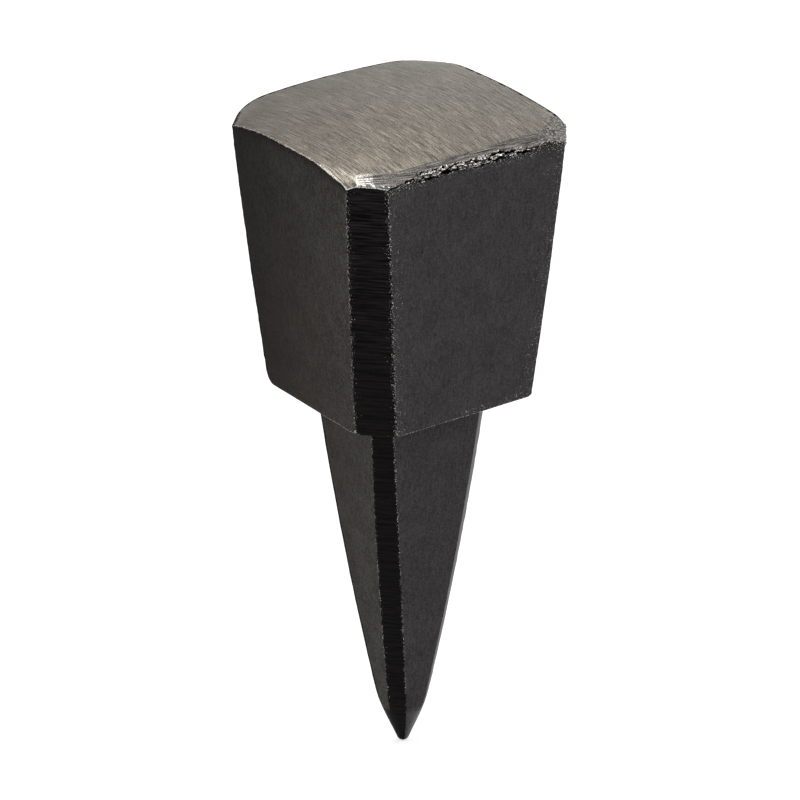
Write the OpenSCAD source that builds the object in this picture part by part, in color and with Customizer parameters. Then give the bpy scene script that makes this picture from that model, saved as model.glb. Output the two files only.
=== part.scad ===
// Scythe peening anvil, forged in one piece: a tapered head with a crowned square face,
// over a four-sided tang that is driven into a stump or a block as far as the shoulder.
// The origin is at the centre of the shoulder, and +Z points up to the working face.
// The front of the head, where its edge is bevelled, faces -Y.

/* [Head] */
// Width of the working face from side to side
face_w = 44; // [38:0.1:56]
// Width of the working face from front to back
face_d = 42.6; // [38:0.1:56]
// Width of the shoulder from side to side
shoulder_w = 35.9; // [32:0.1:50]
// Width of the shoulder from front to back
shoulder_d = 34.8; // [32:0.1:50]
// Height of the head, from the shoulder to the top of the crown
head_h = 48.7; // [36:0.1:70]
// Width of the flat along each upright corner of the head
corner_w = 6.8; // [4:0.1:9]
// Radius of the rounded edge round the underside of the head
shoulder_edge_r = 0.5; // [0.4:0.1:1.8]

/* [Working face] */
// Radius of the crown that is ground on the working face
crown_r = 180; // [80:5:300]
// Width of the band at each corner of the working face that is ground steeper
corner_ease_w = 1.6; // [0.8:0.1:3]
// Radius of that steeper grinding
corner_ease_r = 47; // [42:1:70]
// Width of the bevel that is ground along the front edge of the working face
bevel_w = 2; // [1:0.1:4]
// Slope of the bevel
bevel_angle = 23; // [18:1:40]
// Radius of the curve that the bevel follows from side to side
bevel_r = 130; // [70:5:200]

/* [Tang] */
// Length of the tang, from the shoulder to its tip
tang_l = 67; // [50:1:110]
// Width of the tang across its flats at the shoulder
tang_root_w = 22.7; // [18:0.1:25]
// Width of the tang across its flats where the point begins
tang_end_w = 7.4; // [6:0.1:12]
// Width of the flat along each corner of the tang at the shoulder
tang_root_corner_w = 3.7; // [2:0.1:6]
// Width of the flat along each corner of the tang where the point begins
tang_end_corner_w = 3; // [1:0.1:4]
// How far each long face of the tang swells past a straight taper
tang_swell = 0.6; // [0.1:0.1:1.5]
// Angle that the tang was left turned by against the head in forging
tang_turn = 3; // [0:0.1:6]
// Radius of the fillet between the tang and the shoulder
root_fillet_r = 2; // [1:0.1:2.5]

/* [Point] */
// Angle between the side of the point and its axis
point_angle = 23; // [15:1:35]
// Radius of the rounded tip
tip_r = 1.1; // [0.5:0.1:2]

/* [Hidden] */
// Fineness of every round surface
$fn = 256;

// How far a cutting or joining shape runs past the surface that it works on
run_past = 1;

// How deep a fillet's circle reaches into the two surfaces that it blends
fillet_bite = 0.02;

// Length of any shape that has to span the head from side to side
span = 2 * max(face_w, face_d, shoulder_w, shoulder_d);

// Height of the rim of the working face, at the middle of its left and right edges
rim_z = crown_z(face_w / 2);

// Height of the blanks from which the crown is cut
blank_h = head_h + run_past;

// Distance from the axis to each corner flat at the rim
corner_reach = corner_half(face_w, face_d, corner_w);

// Distance from the axis at which the steeper grinding of the corners starts
ease_start = corner_reach - corner_ease_w;

// Sharp end of the cone that the point is part of, below the rounded tip
cone_end_z = -tang_l + tip_r - tip_r / sin(point_angle);

// Height at which the flats of the tang run out into the point
shank_end_z = cone_end_z + tang_end_w / 2 / tan(point_angle);

// Height of the crown at a distance from the axis
function crown_z(r) = head_h - crown_r + sqrt(crown_r ^ 2 - r ^ 2);

// Distance from the axis to the flat on a corner of a rectangle
function corner_half(w, d, flat_w) = (w + d) / sqrt(8) - flat_w / 2;

// Half width of the head blank at its top, where its sides have run on past the rim
function blank_half(low, rim) = low + (rim - low) * blank_h / rim_z;

// Side view of the head: a wedge that widens upwards, with its two lower corners rounded
module head_outline(low, rim) {
    top = blank_half(low, rim);
    draft = atan((top - low) / blank_h);
    run = shoulder_edge_r / tan((90 + draft) / 2);
    side = [low + run * sin(draft), run * cos(draft)];
    polygon([
        [low - run, 0], side, [top, blank_h],
        [-top, blank_h], [-side.x, side.y], [run - low, 0],
    ]);
    for (s = [-1, 1])
        translate([s * (low - run), shoulder_edge_r])
            circle(r = shoulder_edge_r);
}

// Side view of the tang: two shallow arcs that close in downwards and flare out at the shoulder
module tang_outline(root, end) {
    chord = norm([root - end, shank_end_z]);
    arc_r = (chord ^ 2 / 4 + tang_swell ^ 2) / (2 * tang_swell);
    outward = [-shank_end_z, end - root] / chord;
    centre = [root + end, shank_end_z] / 2 - outward * (arc_r - tang_swell);
    fillet_z = fillet_bite - root_fillet_r;
    reach = arc_r + root_fillet_r - fillet_bite;
    fillet = [centre.x + sqrt(reach ^ 2 - (fillet_z - centre.y) ^ 2), fillet_z];
    touch = fillet + (centre - fillet) * (root_fillet_r - fillet_bite / 2) / reach;

    intersection() {
        translate(centre)
            circle(r = arc_r);
        translate([-centre.x, centre.y])
            circle(r = arc_r);
        translate([-span / 2, -tang_l - run_past])
            square([span, tang_l + run_past + run_past]);
    }
    difference() {
        polygon([
            [-fillet.x, run_past], [-fillet.x, 0], [-touch.x, touch.y],
            touch, [fillet.x, 0], [fillet.x, run_past],
        ]);
        for (s = [-1, 1])
            translate([s * fillet.x, fillet.y])
                circle(r = root_fillet_r);
    }
}

// An outline, drawn as seen from the front, carried right through the part at a turn about Z
module through(turn)
    rotate([90, 0, turn])
        linear_extrude(height = span, center = true)
            children();

// Ball whose top is the crown, and inside it the steeper ball that eases the four corners
module under_crown() {
    ease_z = crown_z(ease_start) - sqrt(corner_ease_r ^ 2 - ease_start ^ 2);
    intersection() {
        translate([0, 0, head_h - crown_r])
            sphere(r = crown_r);
        translate([0, 0, ease_z])
            sphere(r = corner_ease_r);
    }
}

// Solid under the front bevel: a long drum whose top line slopes down towards -Y
module under_bevel() {
    start = bevel_w - face_d / 2;
    translate([0, start, crown_z(start)])
        rotate([bevel_angle, 0, 0])
            translate([0, 0, -bevel_r])
                rotate([90, 0, 0])
                    cylinder(r = bevel_r, h = 3 * span, center = true);
}

module head() {
    low_corner = corner_half(shoulder_w, shoulder_d, corner_w);
    intersection() {
        through(0)
            head_outline(shoulder_w / 2, face_w / 2);
        through(90)
            head_outline(shoulder_d / 2, face_d / 2);
        through(45)
            head_outline(low_corner, corner_reach);
        through(135)
            head_outline(low_corner, corner_reach);
        under_crown();
        under_bevel();
    }
}

// Cone with a rounded tip, from which the tang takes its point
module turned_point() {
    touch_z = cone_end_z + tip_r / tan(point_angle) * cos(point_angle);
    length = run_past + run_past - touch_z;
    translate([0, 0, touch_z])
        cylinder(
            r1 = tip_r * cos(point_angle),
            r2 = tip_r * cos(point_angle) + length * tan(point_angle),
            h = length
        );
    translate([0, 0, tip_r - tang_l])
        sphere(r = tip_r);
}

module tang() {
    root = tang_root_w / 2;
    end = tang_end_w / 2;
    root_corner = corner_half(tang_root_w, tang_root_w, tang_root_corner_w);
    end_corner = corner_half(tang_end_w, tang_end_w, tang_end_corner_w);
    rotate([0, 0, -tang_turn])
        intersection() {
            through(0)
                tang_outline(root, end);
            through(90)
                tang_outline(root, end);
            through(45)
                tang_outline(root_corner, end_corner);
            through(135)
                tang_outline(root_corner, end_corner);
            turned_point();
        }
}

module anvil() {
    color("dimgray") {
        head();
        tang();
    }
}

anvil();
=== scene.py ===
"""Scythe peening anvil: one steel forging with a crowned, ground working face and a black skin."""

import logging
import math
from dataclasses import dataclass, field
from enum import Enum, IntEnum

import bmesh
import bpy
from mathutils import Matrix, Vector, noise


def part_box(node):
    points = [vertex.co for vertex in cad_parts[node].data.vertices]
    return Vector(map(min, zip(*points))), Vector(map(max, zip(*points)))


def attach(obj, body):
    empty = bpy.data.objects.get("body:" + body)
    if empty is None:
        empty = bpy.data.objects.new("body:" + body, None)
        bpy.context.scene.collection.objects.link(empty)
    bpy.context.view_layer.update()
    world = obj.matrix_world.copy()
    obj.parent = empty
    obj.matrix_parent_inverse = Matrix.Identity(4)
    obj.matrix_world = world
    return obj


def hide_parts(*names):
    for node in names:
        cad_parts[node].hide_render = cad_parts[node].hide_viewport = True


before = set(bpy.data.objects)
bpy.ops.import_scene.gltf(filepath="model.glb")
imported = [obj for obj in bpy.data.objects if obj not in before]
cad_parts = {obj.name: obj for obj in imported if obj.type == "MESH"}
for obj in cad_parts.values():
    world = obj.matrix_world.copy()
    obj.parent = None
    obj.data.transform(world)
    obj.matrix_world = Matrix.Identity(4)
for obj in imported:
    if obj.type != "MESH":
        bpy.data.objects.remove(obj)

LOG = logging.getLogger("peening_anvil")

# One millimetre in metres
MM = 0.001
# A margin too small to see, in millimetres
HAIR = 0.01
EIGHTH = math.radians(45)
SIDES = 8

Socket = bpy.types.NodeSocket
Value = float | tuple[float, ...] | Socket
Pair = tuple[float, float]
Tree = bpy.types.NodeTree


def srgb(code: str) -> tuple[float, float, float, float]:
    """Turns a colour as a screen shows it into the linear one that a shader takes.

    Args:
        code: The colour as # and six hex digits.

    Returns:
        Red, green, blue and an alpha of one.
    """
    parts = [int(code[i : i + 2], 16) / 255 for i in (1, 3, 5)]
    linear = [p / 12.92 if p <= 0.04045 else ((p + 0.055) / 1.055) ** 2.4 for p in parts]
    return (*linear, 1.0)


def smooth(low: float, high: float, value: float) -> float:
    """Rises smoothly from 0 at low to 1 at high.

    Args:
        low: Where the rise starts.
        high: Where it ends. It may be below low, for a fall.
        value: Where to read it.

    Returns:
        A share from 0 to 1.
    """
    t = min(1.0, max(0.0, (value - low) / (high - low)))
    return t * t * (3 - 2 * t)


def soft_min(a: float, b: float, blend: float) -> float:
    """The lower of two heights, with the crease between them rounded.

    Args:
        a: One height.
        b: The other height.
        blend: How far apart the two may be and still be blended.

    Returns:
        The blended height, which is never above the lower one.
    """
    near = max(blend - abs(a - b), 0.0) / blend
    return min(a, b) - near * near * blend / 4


def bell(value: float, middle: float, spread: float) -> float:
    """Is 1 at the middle and falls off smoothly on both sides of it."""
    away = (value - middle) / spread
    return math.exp(-away * away)


def waver(x: float, pace: float, row: float, layer: float = 0.0) -> float:
    """Smooth noise, from about -1 to 1, along one of many lines from side to side."""
    return noise.noise(Vector((x * pace, row, layer)))


def direction(azimuth: float, elevation: float) -> Vector:
    """Direction away from the anvil at angles in radians, where azimuth 0 is its front."""
    level = math.cos(elevation)
    return Vector((math.sin(azimuth) * level, -math.cos(azimuth) * level, math.sin(elevation)))


def add_object(name: str, data: bpy.types.ID) -> bpy.types.Object:
    """Adds an object to the scene."""
    made = bpy.data.objects.new(name, data)
    bpy.context.scene.collection.objects.link(made)
    return made


def add_mesh(name: str, bm: bmesh.types.BMesh) -> bpy.types.Object:
    """Adds a finished mesh to the scene as an object."""
    mesh = bpy.data.meshes.new(name)
    bm.to_mesh(mesh)
    bm.free()
    return add_object(name, mesh)


class Side(IntEnum):
    """The eight sides of a section, in order round the axis from +X."""

    RIGHT = 0
    BACK_RIGHT = 1
    BACK = 2
    BACK_LEFT = 3
    LEFT = 4
    FRONT_LEFT = 5
    FRONT = 6
    FRONT_RIGHT = 7


class Mark(Enum):
    """Measures kept on the mesh that the finishes follow."""

    RIM = "below_rim_mm"
    FLAT = "into_flat_mm"
    CUT = "ground_below_crown_mm"
    TORN = "torn_share"
    # Share of bare metal: scuffs, and painted highlights along edges, rims and lower edges.
    WEAR_AND_HIGHLIGHT = "wear_and_highlight_share"
    GLOSS = "gloss_share"


@dataclass(frozen=True)
class Column:
    """One line of points down the forging.

    Attributes:
        side: The side that it runs down.
        along: Its share of the way across that side.
        arc: Its share of the way round the edge after that side, or 0 on the side itself.
    """

    side: Side
    along: float
    arc: float = 0.0

    @property
    def edge(self) -> Side:
        """The side before the nearest edge."""
        return self.side if self.along > 0.5 else Side((self.side - 1) % SIDES)


@dataclass(frozen=True)
class Section:
    """A level cut through the forging: eight sides with rounded edges between them.

    Attributes:
        reach: Distance from the axis to each side.
        facing: Direction that each side faces.
        edge_r: Radius of the rounded edge after each side.
    """

    reach: tuple[float, ...]
    facing: tuple[float, ...]
    edge_r: tuple[float, ...]

    def bend(self, side: int) -> float:
        """Angle between a side and the next one."""
        return (self.facing[(side + 1) % SIDES] - self.facing[side]) % math.tau

    def crossing(self, side: int, other: int, bend: float) -> float:
        """How far from the middle of a side the line of its neighbour crosses it."""
        return (self.reach[other] - self.reach[side] * math.cos(bend)) / math.sin(bend)

    def ends(self, side: int) -> Pair:
        """The two ends of the flat part of a side, measured along it from its middle."""
        before, after = (side - 1) % SIDES, (side + 1) % SIDES
        bends = self.bend(before), self.bend(side)
        trims = [r * math.tan(b / 2) for r, b in zip((self.edge_r[before], self.edge_r[side]), bends)]
        start = trims[0] - self.crossing(side, before, bends[0])
        return start, self.crossing(side, after, bends[1]) - trims[1]

    def point(self, column: Column) -> Vector:
        """Where a column crosses this section.

        Args:
            column: The column.

        Returns:
            The point, at height 0.
        """
        side = column.side
        facing = self.facing[side]
        out = Vector((math.cos(facing), math.sin(facing), 0))
        across = Vector((-out.y, out.x, 0))
        start, end = self.ends(side)
        if column.arc:
            swung = facing + column.arc * self.bend(side)
            normal = Vector((math.cos(swung), math.sin(swung), 0))
            return out * (self.reach[side] - self.edge_r[side]) + across * end + normal * self.edge_r[side]
        return out * self.reach[side] + across * (start + (end - start) * column.along)

    def from_edge(self, column: Column) -> float:
        """Distance along the surface from a column to the middle of the nearest edge."""
        start, end = self.ends(column.side)
        arc_l = self.edge_r[column.edge] * self.bend(column.edge)
        if column.arc:
            return abs(0.5 - column.arc) * arc_l
        return min(column.along, 1 - column.along) * (end - start) + arc_l / 2

    def into_flat(self, column: Column) -> float:
        """How far a column is inside a corner flat, negative on the four broad faces."""
        on_flat = bool(column.side % 2) != (column.arc > 0.5)
        return self.from_edge(column) if on_flat else -self.from_edge(column)


@dataclass(frozen=True)
class Station:
    """One ring of the forging: where each column is, and its marks.

    Attributes:
        points: The points, in the order of the columns.
        below_rim: Distance down the profile from the rim of the face, negative on the face.
        section: The level section that the ring follows.
        under: Whether it lies on the underside of the head, inside its edge.
    """

    points: list[Vector]
    below_rim: float
    section: Section
    under: bool = False


@dataclass(frozen=True)
class Facet:
    """A corner of the working face that is ground steeper, in millimetres.

    Attributes:
        facing: Direction from the axis to the corner.
        start: Distance from the axis at which it starts.
        slope: How much it drops for each millimetre outwards.
        blend: How much its crease with the rest of the face is rounded.
    """

    facing: float
    start: float
    slope: float
    blend: float = 0.14

    def drop(self, at: Vector) -> float:
        """How far it lies below its start at a point."""
        reach = at.x * math.cos(self.facing) + at.y * math.sin(self.facing)
        return (reach - self.start) * self.slope


@dataclass(frozen=True)
class Hollow:
    """A shallow place where hand grinding or use took more off, in millimetres.

    Attributes:
        x: Its place from side to side.
        y: Its place from front to back.
        spread: Its radius.
        depth: Its depth in the middle, negative where less was taken off.
    """

    x: float
    y: float
    spread: float
    depth: float

    def drop(self, at: Vector) -> float:
        """How deep it is at a point."""
        return self.depth * bell(math.hypot(at.x - self.x, at.y - self.y), 0.0, self.spread)


@dataclass(frozen=True)
class WorkingFace:
    """The ground top of the head, in millimetres.

    Attributes:
        top_z: Height of the crown.
        front_y: Where the front edge lies.
        crown_r: Radius of the crown.
        facets: Its corners that are ground steeper.
        eased: Its corners that are only eased, so that the belt lines run on over them.
        hollows: Its uneven places.
        bevel_w: Width of the front bevel in the middle.
        bevel_widening: How fast the bevel widens towards its ends.
        bevel_drop: How far its lower edge lies under the crown on the left.
        bevel_deeper: How much more that is on the right.
        bevel_blend: How much its crease with the rest of the face is rounded.
        deeper_x: Where from side to side it starts to be deeper, and where it is deepest.
        shallow: Where it is shallower again, over what distance, and by how much.
    """

    top_z: float
    front_y: float = -21.3
    crown_r: float = 180.0
    facets: tuple[Facet, ...] = (
        Facet(math.radians(226.9), 23.86, 0.336, 0.012),
        Facet(math.radians(237.1), 22.97, 0.329, 0.012),
        Facet(7 * EIGHTH, 25.0, 0.61, 0.4),
    )
    eased: tuple[Facet, ...] = (
        Facet(EIGHTH, 26.5, 0.4, 0.8),
        Facet(3 * EIGHTH, 24.8, 0.6, 0.8),
        Facet(math.radians(205), 23.4, 0.403, 0.2),
    )
    hollows: tuple[Hollow, ...] = (
        Hollow(-22.0, 12.5, 3.6, 0.42),
        Hollow(-22.0, -16.4, 1.0, 0.45),
        Hollow(-22.0, -7.0, 3.5, -0.12),
    )
    bevel_w: float = 2.0
    bevel_widening: float = 0.0055
    bevel_drop: float = 0.62
    bevel_deeper: float = 0.33
    bevel_blend: float = 0.14
    deeper_x: Pair = (-6.0, 2.0)
    shallow: tuple[float, float, float] = (14.3, 2.0, 0.6)

    def crown(self, r: float) -> float:
        """Height of the crown at a distance from the axis."""
        return self.top_z - self.crown_r + math.sqrt(self.crown_r**2 - r * r)

    def lowered(self, ground: float, corners: tuple[Facet, ...], at: Vector) -> float:
        """Height above a point once some corners are ground."""
        for corner in corners:
            ground = soft_min(ground, self.crown(corner.start) - corner.drop(at), corner.blend)
        return ground

    def belted(self, at: Vector) -> float:
        """Height above a point of what the belt leaves: the crown and the eased corners."""
        return self.lowered(self.crown(math.hypot(at.x, at.y)), self.eased, at)

    def bevel(self, at: Vector) -> float:
        """Height of the front bevel above a point: straight from its upper edge to its lower one."""
        width = self.bevel_w + self.bevel_widening * (at.x + 1) ** 2
        middle, spread, less = self.shallow
        deeper = self.bevel_deeper * smooth(*self.deeper_x, at.x)
        drop = self.bevel_drop + deeper - less * bell(at.x, middle, spread)
        share = (at.y - self.front_y) / width
        low = self.crown(math.hypot(at.x, self.front_y)) - drop
        high = self.crown(math.hypot(at.x, self.front_y + width))
        return low + (high - low) * share

    def cut(self, at: Vector) -> float:
        """How far the bevel and the steeper corners lie below what the belt leaves, or less than 0."""
        steeper = min(self.crown(f.start) - f.drop(at) for f in self.facets)
        return self.belted(at) - min(steeper, self.bevel(at))

    def height(self, at: Vector) -> float:
        """Height of the ground face above a point."""
        ground = self.lowered(self.belted(at), self.facets, at)
        ground = soft_min(ground, self.bevel(at), self.bevel_blend)
        return ground - sum(h.drop(at) for h in self.hollows)


@dataclass(frozen=True)
class Head:
    """The tapered head, in millimetres.

    Attributes:
        face: Its working face.
        rim_z: Height at which the widths of the face are measured.
        shoulder_w: Width of the shoulder from side to side.
        shoulder_d: Width of the shoulder from front to back.
        face_w: Width of the face from side to side.
        face_d: Width of the face from front to back.
        corner_w: Width of the flat along each upright corner.
        lean: Angle by which the front right flat was trimmed out of true.
        lean_out: How much further out that leaves the flat.
        flare: How much further out still that flat was hammered at its top.
        flare_h: How far below the rim that starts and is complete.
        swell: How far the sides stand out half way up.
        edge_r: Radius of the upright edges.
        far_edge_r: Radius of those edges at the rim, round the far corner and the back.
        outer_edge_r: Radius at the rim of the leftmost and the rightmost edge.
        far_edge_h: How far below the rim that rounding starts.
        bottom_r: Radius of the edge round the underside.
        bottom_corner_r: Radius by which the underside's corner after each side is rounded upwards.
        rim_r: Radius of the rim of the face.
    """

    face: WorkingFace
    rim_z: float
    shoulder_w: float = 35.9
    shoulder_d: float = 34.8
    face_w: float = 44.0
    face_d: float = 42.6
    corner_w: float = 6.8
    lean: float = math.radians(10)
    lean_out: float = -0.15
    flare: float = 0.26
    flare_h: Pair = (3.1, 1.6)
    swell: float = 0.2
    edge_r: float = 0.35
    far_edge_r: float = 6.0
    outer_edge_r: float = 0.9
    far_edge_h: float = 7.0
    bottom_r: float = 0.14
    bottom_corner_r: tuple[float, ...] = (0.8, 0.8, 0.8, 1.6, 0.9, 0.9, 0.35, 0.15)
    rim_r: float = 0.2

    def section(self, z: float) -> Section:
        """The level section of the head at a height."""
        share = z / self.rim_z
        width = self.shoulder_w + (self.face_w - self.shoulder_w) * share
        depth = self.shoulder_d + (self.face_d - self.shoulder_d) * share
        corner = (width + depth) / math.sqrt(8) - self.corner_w / 2
        swell = self.swell * 4 * share * (1 - share)
        reach = [r + swell for r in (width / 2, corner, depth / 2, corner) * 2]
        facing = [i * EIGHTH for i in range(SIDES)]
        low, high = (self.rim_z - h for h in self.flare_h)
        reach[Side.FRONT_RIGHT] += self.lean_out + self.flare * smooth(low, high, z)
        facing[Side.FRONT_RIGHT] += self.lean
        near_rim = smooth(self.rim_z - self.far_edge_h, self.rim_z, z)
        far_r = self.edge_r + (self.far_edge_r - self.edge_r) * near_rim
        outer_r = self.edge_r + (self.outer_edge_r - self.edge_r) * near_rim
        edge_r = [far_r] * 3 + [outer_r] + [self.edge_r] * 3 + [outer_r]
        return Section(tuple(reach), tuple(facing), tuple(edge_r))

    def bottom_radius(self, column: Column) -> float:
        """Radius of the edge round the underside where a column crosses it."""
        start, end = self.section(0).ends(column.side)
        lift = self.bottom_r
        for away, edge in ((1 - column.along, column.side), (column.along, column.side - 1)):
            r = self.bottom_corner_r[edge % SIDES]
            short = max(0.0, 1 - away * (end - start) / r)
            lift += r * (1 - math.sqrt(1 - short * short))
        return lift

    def rim(self, column: Column) -> Vector:
        """Where a column meets the ground face: a point on both the side and the face."""
        z = self.rim_z
        for _ in range(8):
            at = self.section(z).point(column)
            z = self.face.height(at)
        return Vector((at.x, at.y, z))

    def side(self, column: Column, z: float) -> Vector:
        """Where a column is at a height."""
        at = self.section(z).point(column)
        return Vector((at.x, at.y, z))


@dataclass(frozen=True)
class Tang:
    """The four-sided tang with its turned point, in millimetres.

    Attributes:
        length: From the shoulder to the tip.
        root_w: Width across the flats at the shoulder.
        end_w: Width across the flats where the point begins.
        root_corner_w: Width of the corner flats at the shoulder.
        end_corner_w: Width of the corner flats where the point begins.
        swell: How far each face swells past a straight taper.
        turn: Angle that the tang is turned by against the head.
        fillet_r: Radius of the fillet at the shoulder.
        edge_r: Radius of its edges.
        point_angle: Angle between the side of the point and the axis.
        tip_r: Radius of the tip.
        point_blend: How much the flats are blended into the point.
    """

    length: float
    root_w: float = 22.7
    end_w: float = 7.4
    root_corner_w: float = 3.7
    end_corner_w: float = 3.0
    swell: float = 0.6
    turn: float = -math.radians(3)
    fillet_r: float = 2.0
    edge_r: float = 0.22
    point_angle: float = math.radians(23)
    tip_r: float = 1.1
    point_blend: float = 0.5

    @property
    def cone_end_z(self) -> float:
        """Height of the sharp end of the cone that the point is part of."""
        return -self.length + self.tip_r - self.tip_r / math.sin(self.point_angle)

    @property
    def shank_end_z(self) -> float:
        """Height at which the faces run out into the point."""
        return self.cone_end_z + self.end_w / 2 / math.tan(self.point_angle)

    def swept(self, root: float, end: float, z: float) -> float:
        """Distance from the axis to a side that follows a shallow arc.

        Args:
            root: The distance at the shoulder.
            end: The distance where the point begins.
            z: The height.

        Returns:
            The distance at that height, with the fillet near the shoulder.
        """
        chord = math.hypot(root - end, self.shank_end_z)
        arc_r = (chord**2 / 4 + self.swell**2) / (2 * self.swell)
        out = Vector((-self.shank_end_z, end - root)) / chord
        centre = Vector((root + end, self.shank_end_z)) / 2 - out * (arc_r - self.swell)
        side = centre.x + math.sqrt(arc_r**2 - (z - centre.y) ** 2)
        left = max(0.0, self.fillet_r + z)
        return side + self.fillet_r - math.sqrt(self.fillet_r**2 - left * left)

    def corner_reach(self, width: float, flat_w: float) -> float:
        """Distance from the axis to a corner flat."""
        return width / math.sqrt(2) - flat_w / 2

    def section(self, z: float) -> Section:
        """The level section of the tang at a height."""
        face = self.swept(self.root_w / 2, self.end_w / 2, z)
        corner = self.swept(
            self.corner_reach(self.root_w, self.root_corner_w),
            self.corner_reach(self.end_w, self.end_corner_w),
            z,
        )
        facing = tuple(self.turn + i * EIGHTH for i in range(SIDES))
        return Section((face, corner) * 4, facing, (self.edge_r,) * SIDES)

    def point_r(self, z: float) -> float:
        """Radius of the turned point at a height."""
        ball_z = self.tip_r - self.length
        touch_z = ball_z - self.tip_r * math.sin(self.point_angle)
        if z > touch_z:
            return (z - self.cone_end_z) * math.tan(self.point_angle)
        return math.sqrt(max(0.0, self.tip_r**2 - (z - ball_z) ** 2))

    def side(self, column: Column, z: float) -> Vector:
        """Where a column is at a height, on the flats or on the point."""
        at = self.section(z).point(column)
        r = soft_min(at.length, self.point_r(z), self.point_blend * smooth(0, 2, self.point_r(z)) + 1e-6)
        at *= r / at.length
        return Vector((at.x, at.y, z))


@dataclass(frozen=True)
class Tear:
    """The ragged lap of metal along the front edge of the face, in millimetres.

    Attributes:
        start_x: Where it starts, from the axis.
        end_x: Where it ends.
        depth: How deep its gaps go.
        grain: Size of its crumbs.
        crumb_l: How much longer than high a crumb is.
        burr_x: Where the thin burr that leads up to it starts.
        burr_rise: How far up the bevel the burr climbs, and from where to where it does so.
        burr_end: How far below the rim the burr's crack has ended, and down to where it is whole.
        burr_depth: How deep the burr is, as a share of the rest.
        lift: How far up the bevel the lap is raised, and from where to where it fades on the right.
        near_lift: The same for what is added on the left.
        width: How far below the rim the lap reaches.
        narrowing: How much less that is on the right, and from where to where it narrows.
        slot_drop: How far under its top the dark slot lies, a painted shadow of the fold, and how far the
            bright lip.
    """

    start_x: float = -11.6
    end_x: float = 12.6
    depth: float = 0.42
    grain: float = 0.33
    crumb_l: float = 3.125
    burr_x: float = -17.4
    burr_rise: tuple[float, float, float] = (0.35, -16.0, -12.0)
    burr_end: Pair = (0.4, 0.25)
    burr_depth: float = 0.25
    lift: tuple[float, float, float] = (0.6, 12.2, 9.5)
    near_lift: tuple[float, float, float] = (0.35, -3.0, -10.5)
    width: float = 0.95
    narrowing: tuple[float, float, float] = (0.4, 1.0, 11.0)
    slot_drop: Pair = (0.26, 0.56)

    def reach(self, x: float) -> float:
        """How fully the edge is torn at a place along it, from 0 to 1."""
        strayed = x + 0.9 * waver(x, 0.45, 3.1)
        starting = smooth(self.start_x, self.start_x + 1.2, strayed)
        return starting * smooth(self.end_x, self.end_x - 2.2, strayed)

    def change(self, part: tuple[float, float, float], x: float) -> float:
        """How much of a change shows at a place: its amount, times its rise from one place to the other."""
        return part[0] * smooth(*part[1:], x)

    def top(self, x: float) -> float:
        """How far below the rim the torn band starts: on the bevel, and at the rim on the right."""
        strayed = 0.3 * waver(x, 0.8, 9.4) + 0.2 * waver(x, 2.6, 1.2)
        return strayed - 0.05 - self.change(self.lift, x) - self.change(self.near_lift, x)

    def low(self, x: float) -> float:
        """How far below the rim the torn band ends."""
        strayed = 0.3 * waver(x, 0.7, 5.8) + 0.2 * waver(x, 2.9, 7.7)
        return strayed + self.width - self.change(self.narrowing, x)

    def band(self, x: float, below: float) -> float:
        """How fully a point is inside the torn band, from 0 to 1."""
        top, low = self.top(x), self.low(x)
        return smooth(top - 0.12, top + 0.06, below) * smooth(low + 0.2, low, below) * self.reach(x)

    def seam(self, x: float, drop: float) -> float:
        """How far below the rim a line runs that follows the top of the band."""
        return self.top(x) + drop + 0.14 * waver(x, 1.3, 2.2, 4.0)

    def slot(self, x: float, below: float) -> float:
        """How fully a point is in the dark slot under the lap, a painted shadow of the fold, from 0 to 1."""
        here = smooth(-0.3, 0.1, waver(x, 0.55, 0.3, 8.0))
        return here * bell(below, self.seam(x, self.slot_drop[0]), 0.15 + 0.1 * waver(x, 0.9, 6.1))

    def lip(self, x: float, below: float) -> float:
        """How fully a point is on the bright lip under the slot, from 0 to 1."""
        here = smooth(-0.2, 0.1, waver(x, 0.8, 4.4, 1.0))
        return here * bell(below, self.seam(x, self.slot_drop[1]), 0.11)

    def burr(self, x: float, below: float) -> float:
        """How the thin burr before the torn part marks a point: below 0 in its crack, above 0 under it."""
        reach = smooth(self.burr_x, self.burr_x + 0.6, x) * smooth(self.start_x + 0.6, self.start_x, x)
        broken = smooth(-0.5, -0.1, waver(x, 1.7, 6.6))
        line = 0.05 - self.change(self.burr_rise, x)
        crack = smooth(line - 0.2, line - 0.05, below) * smooth(*self.burr_end, below)
        spark = bell(below, line + 0.5, 0.14) * smooth(-0.1, 0.2, waver(x, 2.4, 0, 5))
        return reach * (spark - crack * broken * (1 - spark))

    def sunk(self, x: float, state: float) -> float:
        """How deep a point of the band lies under the surface, least of all in the thin burr."""
        share = smooth(self.start_x - 0.6, self.start_x + 0.6, x)
        depth = self.depth * (self.burr_depth + (1 - self.burr_depth) * share)
        return depth * max(0.0, 0.5 - state) * abs(state) ** 0.5

    def crumb(self, at: Vector) -> float:
        """How much of a crumb stands at a point, from 0 in the gaps to 1 on the crumbs."""
        squeezed = Vector((at.x / self.crumb_l, at.y, at.z)) / self.grain
        shaken = squeezed + 0.5 * noise.noise_vector(squeezed * 1.3)
        near, far = noise.voronoi(shaken)[0][:2]
        return smooth(0.04, 0.3, far - near) * smooth(-0.3, 0.0, noise.noise(squeezed * 0.45))

    def state(self, at: Vector, below: float) -> float:
        """What a point of the torn band is.

        Args:
            at: The point.
            below: How far it is below the rim.

        Returns:
            From -1 in a gap, through 0 outside the band, to 1 on a crumb.
        """
        band = self.band(at.x, below)
        if band <= 0:
            return self.burr(at.x, below)
        stands = max(self.crumb(at) * (1 - self.slot(at.x, below)), self.lip(at.x, below))
        return band * (2 * stands - 1)


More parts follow.
